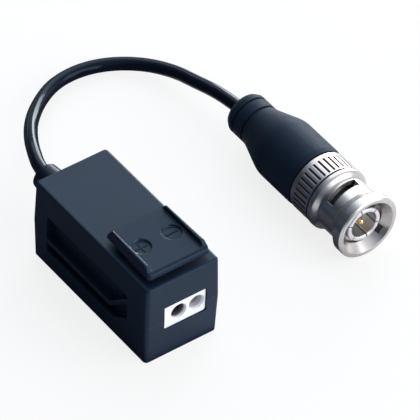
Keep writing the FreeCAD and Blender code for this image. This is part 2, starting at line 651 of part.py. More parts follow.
# Terminal body: white moulding with a funnel mouth and a clamp chamber for each pole
terminal = new_body("terminal_body")
terminal_front = front_face + S.terminal_recess
neck = new_sketch(terminal, "terminal_neck", "XZ_Plane", -terminal_front)
rectangle(neck, S.window_left + S.terminal_gap, window_right - S.terminal_gap,
          S.window_low + S.terminal_gap, window_top - S.terminal_gap)
pad(terminal, "terminal_neck_pad", neck, -S.terminal_rear - terminal_front, True)
block = new_sketch(terminal, "terminal_block", "XZ_Plane", cavity_end)
rectangle(block, S.window_left - S.shoulder_overlap, window_right + S.shoulder_overlap,
          board_top, board_top + S.terminal_height)
pad(terminal, "terminal_block_pad", block, cavity_end - S.terminal_rear, True)
chambers = new_sketch(terminal, "clamp_chambers", "XZ_Plane", S.chamber_front)
for across in poles.values():
    rectangle(chambers, across - S.chamber_half, across + S.chamber_half,
              S.chamber_floor, S.chamber_top)
pocket(terminal, "clamp_chambers_cut", chambers, S.chamber_front - S.terminal_rear + 0.5)
wires = new_sketch(terminal, "wire_bores", "XZ_Plane", -terminal_front + 0.2)
for across in poles.values():
    circle(wires, across, S.wire_height, S.wire_radius)
pocket(terminal, "wire_bores_cut", wires, -terminal_front - S.chamber_front + 0.4)
shafts = new_sketch(terminal, "button_bores", "XY_Plane", S.chamber_top - 0.2)
for across in poles.values():
    circle(shafts, across, -S.button_back, S.button_radius + S.button_clearance)
pocket(terminal, "button_bores_cut", shafts, S.terminal_height, True)
tails = new_sketch(terminal, "tail_slots", "XY_Plane", board_top - 0.1)
for across in poles.values():
    rectangle(tails, across - S.contact_width / 2 - 0.1, across + S.contact_width / 2 + 0.1,
              -S.tail_back - 0.6, 0.5 - S.terminal_rear)
pocket(terminal, "tail_slots_cut", tails, S.chamber_floor - board_top + 0.2, True)
dress(terminal, "Fillet", "terminal_corners", S.window_radius,
      lambda edge: len(edge.Vertexes) == 2 and abs(ends(edge)[0].y - ends(edge)[1].y) > 0.3
      and all(point.y < -cavity_end.value + 0.05 for point in ends(edge)))
funnels = []
for sign, across in poles.items():
    funnel = doc.addObject("Part::Cone", "funnel_" + sign)
    bind(funnel, "Radius1", S.funnel_radius)
    bind(funnel, "Radius2", S.wire_radius)
    bind(funnel, "Height", S.funnel_depth)
    funnels.append(put(funnel, across, terminal_front, S.wire_height, ALONG_Y))
terminal_body = cut("terminal_body_piece", terminal, funnels)

# Spring clamps, contacts and release buttons, one set for each pole. Each leaf rises from
# its root to a knee, runs level under the button's foot and bends down to its tip.
bar_inset = 0.4
bar_bend = 0.8
leaf_root = 0.9
leaf_root_lift = 0.05
leaf_knee = 1.4
leaf_knee_drop = 0.8
leaf_crest = 3.6
leaf_tip = 4.6
leaf_tip_drop = 0.6
leaf_bend = 0.45
foot_room = 0.35
springs = {}
contacts = {}
buttons = {}
for sign, across in poles.items():
    bar_height = S.contact_top.value - S.contact_thickness.value / 2
    front = -S.chamber_front.value
    bar = [(bar_inset + front, bar_height), (-S.tail_back.value, bar_height),
           (-S.tail_back.value, S.board_bottom.value - S.lead_stub.value)]
    contacts[sign] = solid_feature("contact_" + sign, flat_strip(
        bar, S.contact_width.value, S.contact_thickness.value, bar_bend, across.value))
    root = S.contact_top.value + S.leaf_thickness.value / 2
    crest = S.button_foot_low.value - foot_room
    leaf = [(front + leaf_root, root + leaf_root_lift),
            (front + leaf_knee, crest - leaf_knee_drop), (front + leaf_crest, crest),
            (front + leaf_tip, crest - leaf_tip_drop),
            (front + leaf_tip, root - S.leaf_thickness.value / 2)]
    springs[sign] = solid_feature("clamp_spring_" + sign, flat_strip(
        leaf, S.contact_width.value, S.leaf_thickness.value, leaf_bend, across.value))

    button = new_body("release_button_" + sign)
    crown = lever_floor - S.lever_plate - S.button_gap
    form = new_sketch(button, "button_form_" + sign, "XZ_Plane")
    foot_top = S.button_foot_low + S.button_foot_height
    outline(form, [(0, S.button_foot_low), (S.button_foot_radius, S.button_foot_low),
                   (S.button_foot_radius, foot_top), (S.button_radius, foot_top),
                   (S.button_radius, crown - S.button_dome),
                   (S.button_radius * 0.72, crown - S.button_dome * 0.36),
                   (S.button_radius * 0.3, crown - S.button_dome * 0.05), (0, crown)])
    revolve(button, "button_turn_" + sign, form, "V_Axis")
    buttons[sign] = put(button, across, -S.button_back, 0)

# Circuit board on the ledges, with a hole for each tail and lead
board_low = (cavity_left + S.board_gap, S.board_gap - cavity_end, S.board_bottom)
board_high = (cavity_right - S.board_gap, S.board_rear, board_top)
board_blank = box("board_blank", board_low, board_high)
board_holes = []
for sign, across in poles.items():
    half = S.contact_width / 2 + 0.1
    board_holes.append(box("tail_hole_" + sign,
                           (across - half, -S.tail_back - 0.4, S.board_bottom - 1.0),
                           (across + half, -S.tail_back + 0.4, board_top + 1.0)))


def lead_hole(name, across, back):
    board_holes.append(cylinder(name, S.lead_radius + S.lead_clearance,
                                S.board_thickness + 2.0, across, back, S.board_bottom - 1.0))


# Balun transformer: a ferrite ring that stands on its own two windings
core_low = board_top + (S.turn_radius + S.turn_gap) * 2
core = new_body("balun_core")
ring = new_sketch(core, "core_section", "XZ_Plane")
rectangle(ring, S.core_inner, S.core_outer, 0, S.core_height)
revolve(core, "core_turn", ring, "V_Axis")
dress(core, "Fillet", "core_edges", S.core_edge, lambda edge: True)
balun_core = put(core, middle, S.core_back, core_low)


def winding(name, first_angle):
    """Closed turns of enamelled wire round the ring's section."""
    wire = S.turn_radius.value
    gap = S.turn_gap.value + wire
    low = S.core_inner.value - gap
    high = S.core_outer.value + gap
    bottom = -gap
    top = S.core_height.value + gap
    bend = S.core_edge.value + gap
    turns = []
    count = int(S.turn_count.value)
    for index in range(count):
        square = [(low + bend, bottom), (high, bottom), (high, top), (low, top), (low, bottom),
                  (low + bend * 1.5, bottom)]
        route = [((a), 0.0, b) for a, b in square]
        path, radii = rounded_route(route[:-1] + [(low + bend, 0.0, bottom)], bend)
        section = Part.Wire(Part.Circle(FreeCAD.Vector(*route[0]), FreeCAD.Vector(1, 0, 0),
                                        wire).toShape())
        turn = Part.Wire(path.Edges).makePipeShell([section], True, False)
        angle = first_angle + S.winding_sweep.value * index / (count - 1)
        turn.rotate(FreeCAD.Vector(0, 0, 0), FreeCAD.Vector(0, 0, 1), angle)
        turns.append(turn)
    return solid_feature(name, Part.Compound(turns), middle, S.core_back, core_low)


primary_winding = winding("primary_winding", 30)
secondary_winding = winding("secondary_winding", 210)


def board_component(name, across, back, radius, length, span, disc=False):
    """A part on two bent leads: a barrel along Y, or an upright disc."""
    lead = S.lead_radius.value
    height = board_top.value + radius + 0.1
    foot = S.board_bottom.value - S.lead_stub.value
    if disc:
        height = board_top.value + radius + 0.6
        routes = [[(0, end, height - radius * 0.5), (0, end, foot)] for end in (-span, span)]
        leads = [Part.makeCylinder(lead, route[0][2] - foot,
                                   FreeCAD.Vector(0, route[0][1], foot)) for route in routes]
        barrel = Part.makeCylinder(radius, length, FreeCAD.Vector(-length / 2, 0, height),
                                   FreeCAD.Vector(1, 0, 0))
        edges = [edge for edge in barrel.Edges if len(edge.Vertexes) == 1]
        barrel = barrel.makeFillet(length * 0.3, edges)
    else:
        route = [(0, -span, foot), (0, -span, height), (0, span, height), (0, span, foot)]
        leads = [round_rod(route, lead, 0.7)[0]]
        barrel = Part.makeCylinder(radius, length, FreeCAD.Vector(0, -length / 2, height),
                                   FreeCAD.Vector(0, 1, 0))
        edges = [edge for edge in barrel.Edges if len(edge.Vertexes) == 1]
        barrel = barrel.makeFillet(radius * 0.3, edges)
    for index, end in enumerate((-span, span)):
        lead_hole("%s_hole_%d" % (name, index + 1), across, back + end)
    shape = barrel.fuse(leads).removeSplitter()
    return solid_feature(name, shape, across, back, 0)


surge_suppressor = board_component("surge_suppressor", S.surge_across, S.surge_back,
                                   S.surge_radius.value, S.surge_length.value,
                                   S.surge_span.value)
matching_resistor = board_component("matching_resistor", S.resistor_across, S.surge_back,
                                    S.resistor_radius.value, S.resistor_length.value,
                                    S.resistor_span.value)
coupling_capacitor = board_component("coupling_capacitor", S.capacitor_across,
                                     S.capacitor_back, S.capacitor_radius.value,
                                     S.capacitor_width.value, S.capacitor_span.value, True)

# Strain relief: moulded collar clamped between the shells at the rear wall
relief = new_body("strain_relief")
relief_form = new_sketch(relief, "relief_form", "YZ_Plane")
relief_end = half_length + S.relief_length
outline(relief_form, [
    (cavity_end - S.relief_flange, S.relief_bore),
    (cavity_end - S.relief_flange, S.relief_flange_radius),
    (cavity_end, S.relief_flange_radius), (cavity_end, S.relief_neck_radius),
    (half_length, S.relief_neck_radius), (half_length, S.relief_base_radius),
    (relief_end - S.relief_tip_length, S.relief_end_radius),
    (relief_end - S.relief_tip_length * 0.35,
     (S.relief_end_radius + S.relief_tip_radius) / 2 + 0.35),
    (relief_end, S.relief_tip_radius), (relief_end, S.cable_radius),
    (relief_end - S.relief_grip, S.cable_radius), (relief_end - S.relief_grip, S.relief_bore)])
revolve(relief, "relief_turn", relief_form)
for index in range(2):
    start = half_length + 2.2 + S.ring_groove_pitch * index
    groove = new_sketch(relief, "relief_groove_%d" % (index + 1), "YZ_Plane")
    rectangle(groove, start, start + S.ring_groove_width,
              S.relief_end_radius - S.ring_groove_depth, S.relief_base_radius + 1.0)
    revolve(relief, "relief_groove_cut_%d" % (index + 1), groove, cut=True)
strain_relief = put(relief, 0, 0, S.parting_height)

# Cable: the free coaxial pigtail, from its grip in the strain relief to the plug's boot
plug_height = S.flange_radius
CABLE_ROUTE = [
    (0.0, relief_end.value - S.relief_grip.value, S.parting_height.value),
    (0.0, 29.54, S.parting_height.value), (2.86, 36.46, 9.0), (6.04, 41.87, 7.2),
    (9.94, 47.12, 5.1), (15.27, 52.18, 3.4), (21.91, 56.29, 2.3), (29.36, 57.22, 1.8),
    (36.06, 55.2, 1.7), (41.37, 50.65, 2.2), (44.41, 44.3, 3.4), (44.95, 37.64, 5.2),
    (45.87, 31.09, 6.7), (S.plug_across.value, 23.31, plug_height.value),
    (S.plug_across.value, 15.6, plug_height.value),
]
cable_shape, cable_path, cable_radii = round_rod(CABLE_ROUTE, S.cable_radius.value)
cable = solid_feature("cable", cable_shape)
print("cable bend radii", [round(radius, 1) for radius in cable_radii])
section_area = math.pi * S.cable_radius.value ** 2
print("cable length %.1f, volume %.1f, section x length %.1f"
      % (cable_path.Length, cable_shape.Volume, section_area * cable_path.Length))

# Two wires from the stripped end of the cable to the board
wire_start = relief_end.value - S.relief_grip.value
inner_wires = {}
for name, side in (("signal_wire", -1), ("ground_wire", 1)):
    exit_height = S.parting_height.value - 0.55 * side
    foot = S.board_bottom.value - S.lead_stub.value
    across = S.wire_foot_across.value * side
    back = S.wire_foot_back.value
    route = [(0.0, wire_start, exit_height), (0.0, back + 2.6, exit_height),
             (across, back, exit_height - 0.3), (across, back, foot)]
    inner_wires[name] = solid_feature(
        name, round_rod(route, S.core_wire_radius.value, 0.9)[0])
    board_holes.append(cylinder(name + "_hole", S.core_wire_radius + S.lead_clearance,
                                S.board_thickness + 2.0, S.wire_foot_across * side,
                                S.wire_foot_back, S.board_bottom - 1.0))
circuit_board = cut("circuit_board", board_blank, board_holes)


# Plug pieces are turned about one axis; each profile runs from the mouth (0) to the rear

def plug_place(body):
    return put(body, S.plug_across, S.mouth_back, plug_height)


def turned(name, corners):
    body = new_body(name)
    form = new_sketch(body, name + "_form", "YZ_Plane")
    outline(form, corners)
    revolve(body, name + "_turn", form)
    return body


# Coupling nut: knurled grip, bayonet barrel and mouth flange
nut = turned("coupling_nut", [
    (0, S.nut_bore + S.mouth_chamfer), (0, S.flange_radius - 0.3), (0.3, S.flange_radius),
    (S.flange_length, S.flange_radius), (S.flange_length + S.flange_taper, S.barrel_radius),
    (S.barrel_end, S.barrel_radius), (S.barrel_end + S.shoulder_length, S.nut_radius),
    (S.ring_end, S.nut_radius), (S.ring_end, S.nut_radius - S.nut_groove_depth),
    (S.ring_end + S.nut_groove_width, S.nut_radius - S.nut_groove_depth),
    (S.ring_end + S.nut_groove_width, S.nut_radius - 0.1),
    (nut_rear - 0.3, S.nut_radius - 0.1), (nut_rear, S.nut_radius - 0.4),
    (nut_rear, S.rear_counterbore), (S.nut_web_rear, S.rear_counterbore),
    (S.nut_web_rear, S.rear_bore), (S.nut_web_front, S.rear_bore),
    (S.nut_web_front, S.nut_bore), (S.mouth_chamfer * 1.5, S.nut_bore)])
dress(nut, "Fillet", "nut_shoulder_round", S.shoulder_round, lambda edge: len(edge.Vertexes) == 1
      and (near(edge.Vertexes[0].Point.y, S.barrel_end)
           or near(edge.Vertexes[0].Point.y, S.barrel_end + S.shoulder_length)))
tooth = new_sketch(nut, "knurl_groove", "XZ_Plane",
                   -(S.ring_end + S.nut_groove_width + S.knurl_rim))
outline(tooth, [(-S.knurl_width / 2, S.nut_radius + 0.1),
                (-S.knurl_width / 4, S.nut_radius - S.knurl_depth),
                (S.knurl_width / 4, S.nut_radius - S.knurl_depth),
                (S.knurl_width / 2, S.nut_radius + 0.1)])
knurl_length = nut_rear - S.ring_end - S.nut_groove_width - S.knurl_rim - S.knurl_rear_rim
first_tooth = pocket(nut, "knurl_groove_cut", tooth, knurl_length)
knurl = nut.newObject("PartDesign::PolarPattern", "knurl")
knurl.Originals = [first_tooth]
knurl.Axis = ([item for item in nut.Origin.OriginFeatures if item.Role == "Y_Axis"][0], [""])
knurl.Angle = 360
bind(knurl, "Occurrences", S.knurl_count)
nut.Tip = knurl
settle(knurl)


def bayonet_tools():
    """Two helical slots with a round detent, each with a lead-in groove from the mouth."""
    tools = []
    width = S.slot_width.value
    inner = S.nut_bore.value - 0.4
    outer = S.nut_radius.value + 0.6
    sweep = S.slot_sweep.value
    pitch = S.slot_rise.value * 360 / sweep
    middle_radius = (inner + outer) / 2
    for start_angle in (0, 180):
        helix = Part.makeHelix(pitch, S.slot_rise.value, middle_radius)
        frame = [FreeCAD.Vector(inner, 0, -width / 2), FreeCAD.Vector(outer, 0, -width / 2),
                 FreeCAD.Vector(outer, 0, width / 2), FreeCAD.Vector(inner, 0, width / 2)]
        section = Part.makePolygon(frame + frame[:1])
        slot = Part.Wire(helix).makePipeShell([section], True, True)
        detent = Part.makeCylinder(width / 2, outer - inner, FreeCAD.Vector(inner, 0, 0),
                                   FreeCAD.Vector(1, 0, 0))
        detent.translate(FreeCAD.Vector(0, 0, S.slot_rise.value))
        detent.rotate(FreeCAD.Vector(0, 0, 0), FreeCAD.Vector(0, 0, 1), sweep)
        lead = Part.makeBox(S.lead_in_depth.value + 1.0, S.lead_in_width.value,
                            S.slot_start.value + 1.0,
                            FreeCAD.Vector(S.nut_bore.value - 1.0, -S.lead_in_width.value / 2,
                                           -S.slot_start.value - 1.0))
        tool = slot.fuse([detent, lead])
        tool.rotate(FreeCAD.Vector(0, 0, 0), FreeCAD.Vector(0, 0, 1),
                    S.slot_angle.value + start_angle)
        tool.translate(FreeCAD.Vector(0, 0, S.slot_start.value))
        tool.rotate(FreeCAD.Vector(0, 0, 0), FreeCAD.Vector(1, 0, 0), -90)
        tools.append(tool)
    return Part.Compound(tools)


bayonet = solid_feature("bayonet_slots", bayonet_tools())
plug_place(nut)
plug_place(bayonet)
coupling_nut = cut("coupling_nut_piece", nut, [bayonet])

# Plug body: slotted outer contact, collar, clip groove and crimp stem, turned in one piece
contact_inner = S.contact_radius - S.contact_wall
collar_end = S.collar_front + S.collar_length
clip_seat = S.neck_radius - S.clip_depth
shoulder_end = S.body_shoulder_front + S.body_shoulder_length
shank = turned("plug_body", [
    (S.contact_mouth, contact_inner + 0.15), (S.contact_mouth, S.contact_radius - 0.15),
    (S.contact_mouth + 0.25, S.contact_radius), (S.contact_end, S.contact_radius),
    (S.contact_end, S.neck_radius), (S.collar_front, S.neck_radius),
    (S.collar_front, S.collar_radius), (collar_end, S.collar_radius),
    (collar_end, S.neck_radius), (S.clip_front, S.neck_radius), (S.clip_front, clip_seat),
    (S.clip_front + S.clip_thickness, clip_seat),
    (S.clip_front + S.clip_thickness, S.neck_radius),
    (S.body_shoulder_front, S.neck_radius), (S.body_shoulder_front, S.body_shoulder_radius),
    (shoulder_end, S.body_shoulder_radius), (shoulder_end, S.stem_radius),
    (S.stem_end, S.stem_radius), (S.stem_end, S.stem_bore), (S.seat_rear, S.stem_bore),
    (S.seat_rear, S.seat_radius), (S.seat_front, S.seat_radius), (S.seat_front, contact_inner),
    (S.contact_mouth + 0.15, contact_inner)])
slit = new_sketch(shank, "contact_slit", "XZ_Plane", -S.contact_mouth + 0.2)
slit.AttachmentOffset = FreeCAD.Placement(
    slit.AttachmentOffset.Base, FreeCAD.Rotation(FreeCAD.Vector(0, 0, 1), S.slit_angle.value))
rectangle(slit, -S.slit_width / 2, S.slit_width / 2, contact_inner - 0.5, S.contact_radius + 0.5)
first_slit = pocket(shank, "contact_slit_cut", slit, S.slit_length + 0.2)
slits = shank.newObject("PartDesign::PolarPattern", "contact_slits")
slits.Originals = [first_slit]
slits.Axis = ([item for item in shank.Origin.OriginFeatures if item.Role == "Y_Axis"][0], [""])
slits.Angle = 360
bind(slits, "Occurrences", S.slit_count)
shank.Tip = slits
settle(slits)
plug_body = plug_place(shank)

# Pieces round the plug body's neck that let the nut turn and spring forward
washer_inner = S.neck_radius + 0.06
thrust_washer = plug_place(turned("thrust_washer", [
    (collar_end, washer_inner), (collar_end, S.washer_outer),
    (collar_end + S.washer_thickness, S.washer_outer),
    (collar_end + S.washer_thickness, washer_inner)]))
gasket = plug_place(turned("gasket", [
    (S.collar_front - S.gasket_length, S.neck_radius),
    (S.collar_front - S.gasket_length, S.gasket_outer - 0.2),
    (S.collar_front - S.gasket_length + 0.2, S.gasket_outer),
    (S.collar_front, S.gasket_outer), (S.collar_front, S.neck_radius)]))


def wavy_washer():
    """A flat ring bent into even waves, lofted through sections round the axis."""
    inner = washer_inner.value
    outer = S.washer_outer.value - 0.05
    thickness = S.wave_thickness.value
    swing = (S.wave_height.value - thickness) / 2
    waves = int(S.wave_count.value)
    steps = 8 * waves
    sections = []
    for index in range(steps):
        angle = 2 * math.pi * index / steps
        offset = swing * math.sin(waves * angle) + swing
        corners = []
        for radius, depth in ((inner, 0), (outer, 0), (outer, thickness), (inner, thickness)):
            corners.append(FreeCAD.Vector(radius * math.cos(angle), offset + depth,
                                          radius * math.sin(angle)))
        sections.append(corners)
    faces = []
    for index, section in enumerate(sections):
        following = sections[(index + 1) % steps]
        for side in range(4):
            a, b = section[side], section[(side + 1) % 4]
            c, d = following[(side + 1) % 4], following[side]
            for triangle in ((a, b, c), (a, c, d)):
                wire = Part.makePolygon(list(triangle) + [triangle[0]])
                faces.append(Part.Face(wire))
    shell = Part.makeShell(faces)
    solid = Part.makeSolid(shell)
    if solid.Volume < 0:
        solid.reverse()
    return solid


wave_spring = solid_feature("wave_spring", wavy_washer(), S.plug_across,
                            S.mouth_back + collar_end + S.washer_thickness, plug_height)
clip_ring = turned("retaining_ring", [
    (S.clip_front + 0.03, clip_seat),
    (S.clip_front + 0.03, S.clip_radius),
    (S.clip_front + S.clip_thickness - 0.03, S.clip_radius),
    (S.clip_front + S.clip_thickness - 0.03, clip_seat)])
opening = new_sketch(clip_ring, "clip_opening", "XZ_Plane", -S.clip_front + 0.5)
spread = math.tan(math.radians(S.clip_gap_angle.value / 2))
outline(opening, [(0, 0), (S.clip_radius * 1.6 * spread, -S.clip_radius * 1.6),
                  (-S.clip_radius * 1.6 * spread, -S.clip_radius * 1.6)])
pocket(clip_ring, "clip_opening_cut", opening, S.clip_thickness + 1.0)
retaining_ring = plug_place(clip_ring)

# Insulator, pin and ferrule inside the plug
insulator_radius = S.seat_radius - S.insulator_gap
pin_hole = S.pin_neck_radius + S.insulator_gap
plug_insulator = plug_place(turned("plug_insulator", [
    (S.insulator_front, pin_hole), (S.insulator_front, S.insulator_nose_radius),
    (S.seat_front, insulator_radius), (S.seat_rear, insulator_radius), (S.seat_rear, pin_hole)]))
centre_pin = plug_place(turned("centre_pin", [
    (S.pin_front, 0), (S.pin_front, 0.12), (S.pin_front + S.pin_tip * 0.4, S.pin_radius * 0.72),
    (S.pin_front + S.pin_tip, S.pin_radius), (S.pin_end, S.pin_radius),
    (S.pin_end, S.pin_neck_radius), (S.seat_rear, S.pin_neck_radius),
    (S.seat_rear, S.pin_cup_radius), (S.seat_rear + S.pin_cup_length, S.pin_cup_radius),
    (S.seat_rear + S.pin_cup_length, 0)]))
ferrule_outer = S.stem_radius + S.ferrule_wall
crimp_ferrule = plug_place(turned("crimp_ferrule", [
    (S.ferrule_front, S.stem_radius), (S.ferrule_front, ferrule_outer),
    (S.ferrule_rear, ferrule_outer), (S.ferrule_rear, S.stem_radius)]))

# Plug boot: overmoulded, with a long shoulder and two ring grooves at its neck
boot = turned("plug_boot", [
    (S.boot_front, S.body_shoulder_radius), (S.boot_front, S.boot_front_radius),
    (S.boot_front + S.boot_front_bevel, S.boot_radius), (S.boot_shoulder, S.boot_radius),
    (S.boot_neck_start, S.boot_neck_radius),
    (S.boot_rear - S.boot_end_round, S.boot_neck_radius), (S.boot_rear, S.boot_end_radius),
    (S.boot_rear, S.cable_radius), (S.ferrule_rear, S.cable_radius),
    (S.ferrule_rear, ferrule_outer), (shoulder_end, ferrule_outer),
    (shoulder_end, S.body_shoulder_radius)])
for tag, place, radius in (("shoulder", S.boot_shoulder, S.boot_shoulder_round),
                           ("neck", S.boot_neck_start, S.boot_neck_round)):
    dress(boot, "Fillet", "boot_%s_round" % tag, radius,
          lambda edge: len(edge.Vertexes) == 1 and near(edge.Vertexes[0].Point.y, place))
for index in range(2):
    start = S.boot_ring_first + S.boot_ring_pitch * index - S.boot_ring_width / 2
    groove = new_sketch(boot, "boot_groove_%d" % (index + 1), "YZ_Plane")
    rectangle(groove, start, start + S.boot_ring_width,
              S.boot_neck_radius - S.boot_ring_depth, S.boot_neck_radius + 1.0)
    revolve(boot, "boot_groove_cut_%d" % (index + 1), groove, cut=True)
plug_boot = plug_place(boot)

doc.recompute()

# Every piece under the name of its node
PIECES = {
    "lower_shell": lower_shell, "upper_shell": upper_shell, "lever_pin": lever_pin,
    "press_lever": lever, "terminal_body": terminal_body, "circuit_board": circuit_board,
    "balun_core": balun_core, "primary_winding": primary_winding,
    "secondary_winding": secondary_winding, "surge_suppressor": surge_suppressor,
    "matching_resistor": matching_resistor, "coupling_capacitor": coupling_capacitor,
    "strain_relief": strain_relief, "cable": cable, "coupling_nut": coupling_nut,
    "plug_body": plug_body, "thrust_washer": thrust_washer, "wave_spring": wave_spring,
    "retaining_ring": retaining_ring, "gasket": gasket, "plug_insulator": plug_insulator,
    "centre_pin": centre_pin, "crimp_ferrule": crimp_ferrule, "plug_boot": plug_boot,
}
PIECES.update(inner_wires)
for sign in poles:
    PIECES["contact_" + sign] = contacts[sign]
    PIECES["clamp_spring_" + sign] = springs[sign]
    PIECES["release_button_" + sign] = buttons[sign]

# Nothing is written unless every object is sound
for item in doc.Objects:
    if "Invalid" in item.State or "Error" in item.State:
        raise ValueError("%s failed: %s" % (item.Name, item.State))
for name, item in PIECES.items():
    if item.Shape.isNull() or not item.Shape.isValid():
        raise ValueError(name + " has no valid shape")
for name, item in PIECES.items():
    item.Label = name
    item.Shape.exportStep("parts/%s.step" % name)
print(len(PIECES), "pieces written")
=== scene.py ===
import math

import bpy
from mathutils import Matrix, Vector


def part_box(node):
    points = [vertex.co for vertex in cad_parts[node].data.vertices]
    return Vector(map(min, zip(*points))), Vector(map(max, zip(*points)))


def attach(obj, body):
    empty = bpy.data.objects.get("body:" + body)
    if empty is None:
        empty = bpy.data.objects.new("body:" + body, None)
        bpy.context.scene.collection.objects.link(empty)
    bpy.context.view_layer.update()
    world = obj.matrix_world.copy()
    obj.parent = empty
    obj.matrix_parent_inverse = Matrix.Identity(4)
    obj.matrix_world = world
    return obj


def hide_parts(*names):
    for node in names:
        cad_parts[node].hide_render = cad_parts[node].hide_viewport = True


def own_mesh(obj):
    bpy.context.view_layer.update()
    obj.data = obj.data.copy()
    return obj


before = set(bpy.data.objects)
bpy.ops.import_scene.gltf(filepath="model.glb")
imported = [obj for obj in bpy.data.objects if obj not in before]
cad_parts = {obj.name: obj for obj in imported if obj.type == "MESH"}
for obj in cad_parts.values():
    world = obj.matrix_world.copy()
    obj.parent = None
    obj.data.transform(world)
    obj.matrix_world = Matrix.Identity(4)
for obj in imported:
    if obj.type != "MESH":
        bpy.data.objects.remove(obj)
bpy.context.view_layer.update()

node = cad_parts
scene = bpy.context.scene
scene.view_settings.view_transform = "Standard"


# Camera. A long lens stands a metre away, high over the housing's front left corner,
# and leans a little, as the photograph does.
camera_azimuth = math.radians(-38.034)
camera_height = math.radians(43.827)
camera_roll = math.radians(2.613)
camera_distance = 1.0577
camera_offset = (0.017157, 0.01618)
camera_back = Vector((math.sin(camera_azimuth) * math.cos(camera_height),
                      -math.cos(camera_azimuth) * math.cos(camera_height),
                      math.sin(camera_height)))
level_right = Vector((math.cos(camera_azimuth), math.sin(camera_azimuth), 0.0))
level_up = camera_back.cross(level_right)
camera_right = level_right * math.cos(camera_roll) + level_up * math.sin(camera_roll)
camera_up = level_up * math.cos(camera_roll) - level_right * math.sin(camera_roll)
camera_data = bpy.data.cameras.new("long_lens")
camera_data.sensor_width = 36.0
camera_data.lens = 451.77
camera_data.clip_start = 0.05
camera_data.clip_end = 20.0
camera = bpy.data.objects.new("bench_camera", camera_data)
scene.collection.objects.link(camera)
camera_place = (camera_back * camera_distance + camera_right * camera_offset[0]
                + camera_up * camera_offset[1])
camera_turn = Matrix((camera_right, camera_up, camera_back)).transposed().to_4x4()
camera.matrix_world = Matrix.Translation(camera_place) @ camera_turn
scene.camera = camera


# Coaxial pigtail. It is 2.95 mm coax with a glossy black PVC jacket, gripped in the collar
# at the housing's rear, and it swings round in one loose bend to the crimped plug.
cable_route_mm = [
    (0.0, 22.0, 9.8),
    (0.0, 29.54, 9.8),
    (2.86, 36.46, 9.0),
    (6.04, 41.87, 7.2),
    (9.94, 47.12, 5.1),
    (15.27, 52.18, 3.4),
    (21.91, 56.29, 2.3),
    (29.36, 57.22, 1.8),
    (36.06, 55.2, 1.7),
    (41.37, 50.65, 2.2),
    (44.41, 44.3, 3.4),
    (44.95, 37.64, 5.2),
    (45.87, 31.09, 6.7),
    (46.5, 23.31, 7.35),
    (46.5, 15.6, 7.35),
]
cable_diameter = 0.00295
cable_curve = bpy.data.curves.new("pigtail", "CURVE")
cable_curve.dimensions = "3D"
cable_line = cable_curve.splines.new("NURBS")
cable_line.points.add(len(cable_route_mm) - 1)
for point, (across, back, up) in zip(cable_line.points, cable_route_mm):
    point.co = (across / 1000, back / 1000, up / 1000, 1.0)
    point.radius = cable_diameter / 2
cable_line.order_u = 3
cable_line.use_endpoint_u = True
cable_curve.resolution_u = 14
cable_curve.bevel_depth = 1.0
cable_curve.bevel_resolution = 7
cable_curve.use_fill_caps = True
cable_line.use_smooth = True
pigtail = bpy.data.objects.new("pigtail", cable_curve)
scene.collection.objects.link(pigtail)
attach(pigtail, "housing")
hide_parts("cable")


def feed(tree, target, inputs):
    """Writes a value into each named input of a node, or links an output to it."""
    for socket, value in inputs.items():
        if isinstance(value, bpy.types.NodeSocket):
            tree.links.new(value, target.inputs[socket])
        else:
            target.inputs[socket].default_value = value


def add_node(tree, kind, inputs=None, **options):
    """Adds a node to a material, sets its options and feeds its inputs."""
    made = tree.nodes.new(kind)
    for option, value in options.items():
        setattr(made, option, value)
    feed(tree, made, inputs or {})
    return made


def find_edges(tree, radius_mm, full_edge):
    """Rounds the normal, and masks the edges by how far that turns it from the plain one."""
    rounded = add_node(tree, "ShaderNodeBevel", {"Radius": radius_mm / 1000}, samples=8)
    plain = add_node(tree, "ShaderNodeNewGeometry")
    near = add_node(tree, "ShaderNodeVectorMath",
                    {0: rounded.outputs["Normal"], 1: plain.outputs["Normal"]},
                    operation="DOT_PRODUCT")
    edge = add_node(tree, "ShaderNodeMapRange",
                    {"Value": near.outputs["Value"], "From Min": 0.98, "From Max": full_edge})
    return rounded, edge.outputs["Result"]


